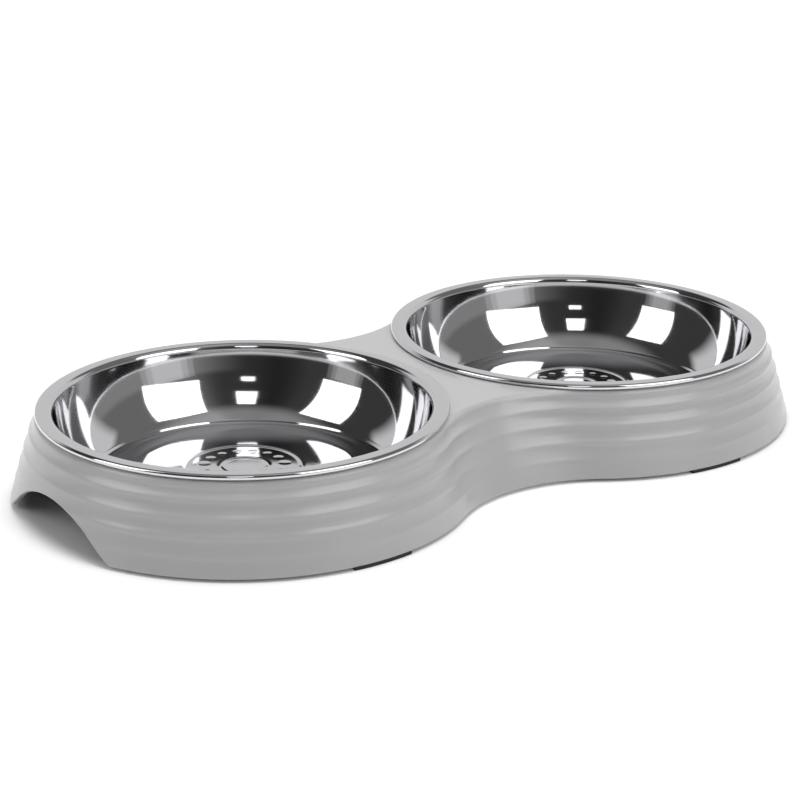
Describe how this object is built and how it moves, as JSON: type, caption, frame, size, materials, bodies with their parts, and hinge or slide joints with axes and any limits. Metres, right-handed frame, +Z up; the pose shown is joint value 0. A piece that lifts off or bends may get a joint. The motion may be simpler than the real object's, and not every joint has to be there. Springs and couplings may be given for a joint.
{
  "type": "double pet bowl",
  "caption": "Double pet bowl: two flanged steel bowls dropped into a ribbed figure-eight stand with finger arches and rubber feet.",
  "frame": {"origin": "on the floor, midway between the two bowls' centres", "axes": "+X along the row of bowls, from the left bowl to the right bowl; +Y towards the back; +Z up"},
  "size_m": [0.364, 0.1926, 0.0392],
  "materials": {
    "stand_grey": "satin moulded",
    "bowl_steel": "mirror-polished stainless",
    "foot_rubber": "matt black"
  },
  "bodies": {
    "stand": {"stand_shell": "stand_grey", "front_left_foot": "foot_rubber", "front_right_foot": "foot_rubber", "back_left_foot": "foot_rubber", "back_right_foot": "foot_rubber"},
    "left_bowl": {"left_bowl": "bowl_steel"},
    "right_bowl": {"right_bowl": "bowl_steel"}
  },
  "joints": [
    {"name": "left_bowl_lift", "type": "slide", "parent": "stand", "child": "left_bowl", "axis": [0, 0, 1], "range_m": [0, 0.06]},
    {"name": "right_bowl_lift", "type": "slide", "parent": "stand", "child": "right_bowl", "axis": [0, 0, 1], "range_m": [0, 0.06]}
  ]
}
